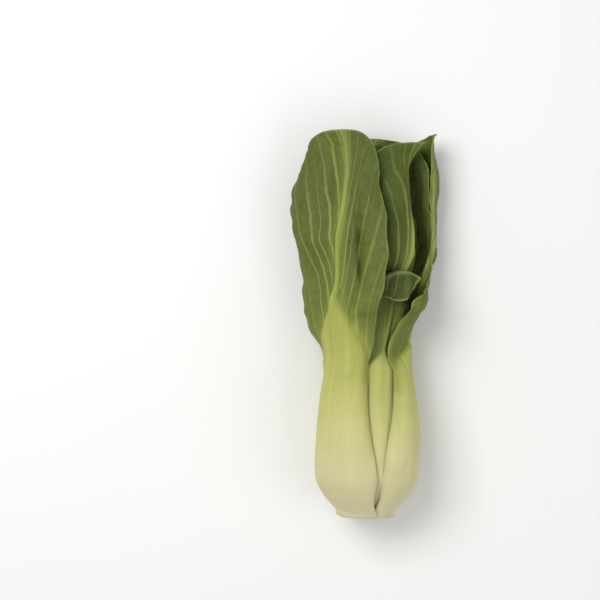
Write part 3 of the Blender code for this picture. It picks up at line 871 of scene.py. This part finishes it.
def crease_shade(leaf, offset, along):
    """Painted shade at the bottom of the front leaf's crease: ragged patches, one above the other."""
    if leaf is not FRONT_LEAF:
        return 0.0 * along
    ragged = SHADE_SHIFT + sum(far * np.sin(along / long) for far, long in SHADE_RAGS)
    start, full, fade, end = SHADE_SPAN
    patches = np.cos(2 * math.pi * (along - PATCH_MIDDLE) / PATCH_LENGTH)
    shaded = between(along, start, full) * (1 - between(along, fade, end))
    shaded = shaded * (PATCH_MEAN + (1 - PATCH_MEAN) * patches)
    return np.exp(-(((offset - valley(along) + ragged) / SHADE_WIDTH) ** 2)) * shaded


def painted_fold_highlight(leaf, offset, along):
    """Painted highlight: 1 along the end of a leaf's tip and along the flopped leaf's ridge, and 0
    elsewhere.
    """
    tip_highlight = np.exp(-(((leaf.length - along) / TIP_RIM) ** 2))
    if leaf is not FLOPPED_LEAF:
        return tip_highlight
    past_ridge = along - fold_line(offset) - RIDGE_TURN * math.pi * FOLD_RADIUS
    return tip_highlight + np.exp(-((past_ridge / RIDGE_WIDTH) ** 2))


def doubled_sheet(name, columns, rows):
    """A closed sheet of cells, two units wide and long and one thick."""
    sheet = bmesh.new()
    bmesh.ops.create_grid(sheet, x_segments=columns, y_segments=rows, size=1.0)
    doubled = bmesh.ops.extrude_face_region(sheet, geom=sheet.faces[:], use_keep_orig=True)
    raised = [item for item in doubled["geom"] if isinstance(item, bmesh.types.BMVert)]
    bmesh.ops.translate(sheet, verts=raised, vec=(0, 0, 1))
    bmesh.ops.recalc_face_normals(sheet, faces=sheet.faces[:])
    data = bpy.data.meshes.new(name)
    sheet.to_mesh(data)
    sheet.free()
    return data


def leaf_mesh(leaf, columns, rows):
    """A leaf as one sheet with an inner and an outer face, laid in the stack."""
    data = doubled_sheet(leaf.name, columns, rows)
    flat = np.empty(len(data.vertices) * 3)
    data.vertices.foreach_get("co", flat)
    x, y, layer = flat.reshape(-1, 3).T
    cell = np.rint((y + 1) / 2 * rows).astype(int), np.rint((x + 1) / 2 * columns).astype(int)

    up, across = np.meshgrid(np.linspace(0, 1, rows + 1), np.linspace(-1, 1, columns + 1), indexing="ij")
    along = root(leaf) + (leaf.length - END_GAP - root(leaf)) * (1 - (1 - up) ** ROW_POWER)
    first, full = JAG_RISE
    on_blade = between(along, leaf.bare + first, leaf.bare + full)
    on_blade = on_blade * (1 - between(along, leaf.length - JAG_END, leaf.length))
    jagged = wander(along / JAG_LENGTH, np.sign(across) * 3.0, leaf.phase) - 1
    outline = np.maximum(margin(leaf, across, along), wedge(leaf, along) + LEAST_BLADE)
    outline = outline + JAG_DEPTH * jagged * on_blade
    offset = across * (MIDDLE_COLUMNS + (1 - MIDDLE_COLUMNS) * np.abs(across)) * outline

    level = np.minimum(along, fold_line(offset)) if leaf is FLOPPED_LEAF else along
    turn = heading(leaf, level) + offset / reach(leaf, level)
    scale = stretch(turn, level)
    settled = np.abs(across) ** 6 * (SETTLED - BLADE_SETTLED * on_blade)
    off = lift(leaf, offset, along) + relief(leaf, offset, along, outline) - settled
    off = off + edge_ripple(leaf, offset, along, outline)
    inner = draped(leaf, bed(leaf, turn, level), level) + off / scale
    thinner = THIN_EDGE * (1 - between(along, *THIN_EDGE_SPAN)) if leaf is FRONT_LEAF else 0.0
    depth = thickness(leaf, offset, along, LAMINA, STALK_EDGE - thinner)
    depth = depth - (LAMINA - RIM_LAMINA) * np.abs(across) ** RIM_POWER

    numbers = {
        "across": offset / MM,
        "along": along / MM,
        "broad": wedge(leaf, along) / MM,
        "edge": (outline - np.abs(offset)) / MM,
        "vein": vein_start(leaf, offset, along),
        "rise": (along - leaf.bare) / MM,
        # The crease number is painted shade at the bottom of the front leaf's crease
        "crease": crease_shade(leaf, offset, along),
        # The fold number is a painted highlight on the flopped leaf's ridge and along every tip end
        "fold": painted_fold_highlight(leaf, offset, along),
    }
    values = {name: field[cell] for name, field in numbers.items()}
    turn, inner, scale, depth = turn[cell], inner[cell], scale[cell], depth[cell] * layer
    if leaf is FLOPPED_LEAF:
        out, height = flopped(offset[cell], along[cell], depth)
        points = place(turn, inner + out / scale, height)
    else:
        short = TIP_SHORT * between(along, leaf.length - TIP_SHORT_SPAN, leaf.length)
        points = place(turn, inner + depth / scale, (along - short)[cell])
    data.vertices.foreach_set("co", points.ravel())
    for name, numbers_there in values.items():
        numbers_on(data, name, numbers_there)
    numbers_on(data, "outer", layer)
    data.update()
    return data


# The finish of every leaf: the stalk's colours from the cut to the tip, then the blade's greens
STALK_COLOURS = (
    (0.00, "#D6CFA8"), (0.12, "#CDC596"), (0.24, "#C2C07E"), (0.36, "#B2B262"),
    (0.50, "#9FA34C"), (0.75, "#929B4F"), (1.00, "#86934E"),
)
STREAK_PALE = "#DEDCAE"
STREAK_GREEN = "#8F9A4A"
STALK_CLOUD = "#A7AE62"
# Painted shade on the stalk's sides, where they curve away
PAINTED_STALK_SHADE = "#8C8A3E"
BLADE_CLOUD = "#67702F"
BLADE_MOTTLE = "#3F4817"
BLADE_FOOT = "#7D863E"
BLADE_TOP = "#45531F"
NET_GREEN = "#717E38"
MINOR_GREEN = "#818E42"
MAJOR_GREEN = "#98A655"
VEIN_FOOT = "#9CA650"
SPINE_GREEN = "#A5AE58"
# Painted shade at the bottom of the front leaf's crease
PAINTED_CREASE_SHADE = "#303E0E"
# Painted shadow of the front leaf on the left halves of the ring leaves
SHADOW_GREEN = "#35421A"
# Painted highlight on the flopped leaf's ridge and along every tip end
FOLD_HIGHLIGHT = "#95A35C"
RIM_GREEN = "#8F9E55"
TINGE_GREEN = "#8E9C4C"

# How fine its patterns are: how much they change over a mm across the leaf, and along it
STREAK_FINENESS = (0.55, 0.014)
STRAND_FINENESS = (0.13, 0.010)
NET_FINENESS = (0.10, 0.16)
CLOUD_SCALE = 0.045
MOTTLE_SCALE = 0.22
SPECK_SCALE = 1.1
SKIN_RELIEF = 0.30 * MM


def leaf_finish(name, seed, back, face, midrib=1.0, rim_width=1.2, shade=0.0):
    """Crisp pale stalk and soft green blade: the stalk's streaks run out as the blade's veins."""
    finish = Finish(name)
    across, along = finish.attribute("across"), finish.attribute("along")
    broad, edge = finish.attribute("broad"), finish.attribute("edge")
    vein, outer = finish.attribute("vein"), finish.attribute("outer")
    crease, rise = finish.attribute("crease"), finish.attribute("rise")
    fold = finish.attribute("fold")
    away = abs(across)

    def drawn(beside, fineness):
        wide, long = fineness
        return finish.vector(wide * beside, long * along, seed)

    on_leaf = finish.vector(across, along, seed + 9.0 * outer)
    streaks = finish.noise(drawn(across, STREAK_FINENESS), 1.0, 3.0)
    strands = finish.noise(drawn(vein, STRAND_FINENESS), 1.0, 4.0)
    cloud = finish.noise(on_leaf, CLOUD_SCALE, 3.0)
    mottle = finish.noise(on_leaf, MOTTLE_SCALE, 3.0)
    speck = finish.noise(on_leaf, SPECK_SCALE, 3.0)

    stops = [(position, linear(colour)) for position, colour in STALK_COLOURS]
    flesh = finish.node("ShaderNodeValToRGB", {"stops": stops}, {"Fac": along / (HEAD_LENGTH / MM)})
    side = away / (away + edge.at_least(0.0) + 0.01)
    flesh = finish.laid_over(flesh, (
        (0.11 * streaks.rise(0.45, 0.7), STREAK_PALE),
        (0.13 * ((1 - streaks.rise(0.3, 0.52)) * along.rise(20.0, 110.0)), STREAK_GREEN),
        (0.20 * cloud.rise(0.45, 0.75), STALK_CLOUD),
        # painted shade on the stalk's sides, where they curve away
        (0.48 * side.rise(0.74, 1.0) * along.rise(40.0, 95.0), PAINTED_STALK_SHADE),
    ))

    def vein_mask(step, width):
        near = abs((vein / step + 0.5).fraction() - 0.5) * step
        return 1 - near.rise(0.2 * width, width)

    beyond = (away - broad).at_least(0.0)
    fading = (1 - 0.7 * side) * (0.45 + 0.75 * mottle)
    fading = fading * (1 - 0.55 * rise.rise(65.0, 125.0))
    major = vein_mask(VEIN_STEP, 3.2) * fading * (0.25 + 0.75 * beyond.rise(1.0, 9.0))
    minor = vein_mask(VEIN_STEP / 2, 2.0) * mottle.rise(0.35, 0.65) * fading * beyond.rise(8.0, 20.0)
    rooted = vein_mask(VEIN_STEP, 5.0) * (1 - beyond.rise(2.0, 12.0)) * rise.rise(0.0, 14.0)
    spine = (1 - away.rise(0.8, 1.8)) * rise.rise(20.0, 40.0) * (1 - rise.rise(105.0, 150.0))
    on_net = {"Vector": drawn(vein, NET_FINENESS), "Scale": 1.0}
    cells = finish.node("ShaderNodeTexVoronoi", {"feature": "DISTANCE_TO_EDGE"}, on_net)
    net = 1 - cells.rise(0.02, 0.16)

    # The wedge frays into the blade, and on a leaf with little midrib it ends soon
    inside = (broad - away) / (0.35 * broad + 2.0)
    frayed = (1.5 * (strands - 0.5) + 0.5 * (streaks - 0.5)) * rise.rise(-16.0, 4.0)
    feathered = inside + frayed - 0.5 * rise.rise(18.0, 60.0)
    lasting = 1 - (1 - midrib) * rise.rise(3.0, 17.0)
    is_stalk = (feathered.rise(-0.75, 0.75) * lasting).at_least(1 - rise.rise(-18.0, -6.0))
    tinge = inside.rise(-2.4, 0.6) * lasting

    green = finish.laid_over(finish.blend(outer, linear(face), linear(back)), (
        (0.40 * cloud.rise(0.3, 0.7), BLADE_CLOUD),
        (0.35 * (1 - mottle.rise(0.25, 0.6)), BLADE_MOTTLE),
        (0.38 * (1 - rise.rise(15.0, 85.0)), BLADE_FOOT),
        (0.28 * rise.rise(55.0, 130.0), BLADE_TOP),
        (0.12 * net, NET_GREEN),
        (0.22 * minor, MINOR_GREEN),
        (0.80 * major, MAJOR_GREEN),
        (0.55 * midrib * rooted, VEIN_FOOT),
        (0.75 * midrib * spine, SPINE_GREEN),
        # painted shade at the bottom of the front leaf's crease
        ((1.6 * crease * (0.2 + 1.2 * mottle)).at_most(0.92), PAINTED_CREASE_SHADE),
        # painted shadow of the front leaf on the left halves of the ring leaves
        (shade * (1 - across.rise(-26.0, -5.0)), SHADOW_GREEN),
        # painted highlight on the flopped leaf's ridge and along every tip end
        (0.65 * fold * (0.4 + mottle), FOLD_HIGHLIGHT),
        (0.45 * (1 - edge.rise(0.25 * rim_width, rim_width)), RIM_GREEN),
        (0.45 * tinge, TINGE_GREEN),
    ))
    colour = finish.blend(is_stalk, green, flesh)
    raised = 0.35 * streaks * is_stalk + 0.25 * speck + 0.30 * net * (1 - is_stalk)
    dull = 0.54 - 0.08 * is_stalk + 0.12 * (speck - 0.5)
    return finish.surface({
        "Base Color": colour, "Roughness": dull, "Normal": finish.bump(raised, SKIN_RELIEF, 0.6),
        "Subsurface Weight": 0.12, "Subsurface Scale": 0.003, "Specular IOR Level": 0.18,
        "Subsurface Radius": (0.6, 1.0, 0.3),
    })


def lay_leaf(leaf, columns, rows, material):
    """Makes one leaf and puts it in the place of its two CAD nodes."""
    nodes = [leaf.name + "_stalk", leaf.name + "_blade"]
    finished(leaf.name, leaf_mesh(leaf, columns, rows), material, nodes)


heart_finish = leaf_finish("heart_leaf", 3.0, back="#646D2F", face="#566227")
for leaf in LEAVES[8:]:
    lay_leaf(leaf, 54, 110, heart_finish)


# The next ring is three full leaves behind and above the heart. Only the one at the upper right
# shows from the front, in the shade between the outer leaves, with its pale midrib.
# Their left halves carry painted shade: the front leaf's shadow on them.
ring_finish = leaf_finish("ring_leaf", 11.0, back="#4D5725", face="#6C7640", midrib=0.9, shade=0.5)
for leaf in LEAVES[5:8]:
    lay_leaf(leaf, 84, 150, ring_finish)


# This leaf is shorter than its neighbours, and its soft tip has flopped over to the front, so
# that the inner face of the tip looks at the viewer under a rolled ridge.
flopped_finish = leaf_finish("flopped_leaf", 17.0, "#626B2E", "#2A3612", midrib=0.1, rim_width=1.4)
lay_leaf(FLOPPED_LEAF, 100, 190, flopped_finish)


# The outer leaves at the back left and on the underside carry the head's weight, so their
# stalks are pressed a little flat against the table.
# Their inner faces are a lighter green than their backs: painted light in the hollow where those faces
# show.
under_finish = leaf_finish("under_leaf", 23.0, back="#59622C", face="#76804A")
for leaf in LEAVES[2:4]:
    lay_leaf(leaf, 100, 170, under_finish)


# The right-hand outer leaf makes the head's right outline. Its left wing wraps towards the
# viewer above the bare stalk, and higher up that margin is rolled back out of sight.
right_finish = leaf_finish("right_leaf", 31.0, back="#5B652B", face="#5B6534")
lay_leaf(RIGHT_LEAF, 110, 200, right_finish)


# The front leaf covers half of the head. Its broad stalk runs up as a pale wedge into a straight
# midrib, and its blade is seen from the back, with one long crease to the right of the midrib.
front_finish = leaf_finish("front_leaf", 41.0, back="#5B632D", face="#435024")
lay_leaf(FRONT_LEAF, 130, 220, front_finish)


# The head lies on a plain pale table in a photographer's tent: soft light from all round, with
# a large lamp above and to the left, and a weaker one on the right.
TABLE_HALF = 3.0
TABLE_SHADE = (0.88, 0.88, 0.87, 1.0)
TABLE_LIGHT = (0.91, 0.91, 0.90, 1.0)
TENT_WHITE = (1.0, 1.0, 1.0, 1.0)
TENT_STRENGTH = 0.52

table_shape = bmesh.new()
bmesh.ops.create_grid(table_shape, x_segments=1, y_segments=1, size=TABLE_HALF)
table_data = bpy.data.meshes.new("table")
table_shape.to_mesh(table_data)
table_shape.free()
table_finish = Finish("table_white")
table_grain = table_finish.noise(table_finish.node("ShaderNodeTexCoord", {}, {}, "Object"), 4.0)
table_colour = table_finish.blend(table_grain, TABLE_SHADE, TABLE_LIGHT)
table_data.materials.append(table_finish.surface({"Base Color": table_colour, "Roughness": 0.7}))
table = bpy.data.objects.new("table", table_data)
bpy.context.scene.collection.objects.link(table)

tent = bpy.data.worlds.new("tent")
tent.use_nodes = True
tent_light = tent.node_tree.nodes["Background"]
tent_light.inputs["Color"].default_value = TENT_WHITE
tent_light.inputs["Strength"].default_value = TENT_STRENGTH
bpy.context.scene.world = tent


def lamp(name, position, turn, size, power):
    """A square soft lamp."""
    light = bpy.data.lights.new(name, "AREA")
    light.size = size
    light.energy = power
    holder = bpy.data.objects.new(name, light)
    holder.location = position
    holder.rotation_euler = Euler([math.radians(angle) for angle in turn])
    bpy.context.scene.collection.objects.link(holder)


lamp("key", (-0.45, 0.35, 0.9), (-22, -26, 0), 0.6, 6.6)
lamp("fill", (0.7, -0.3, 0.8), (20, 40, 0), 0.8, 2.2)
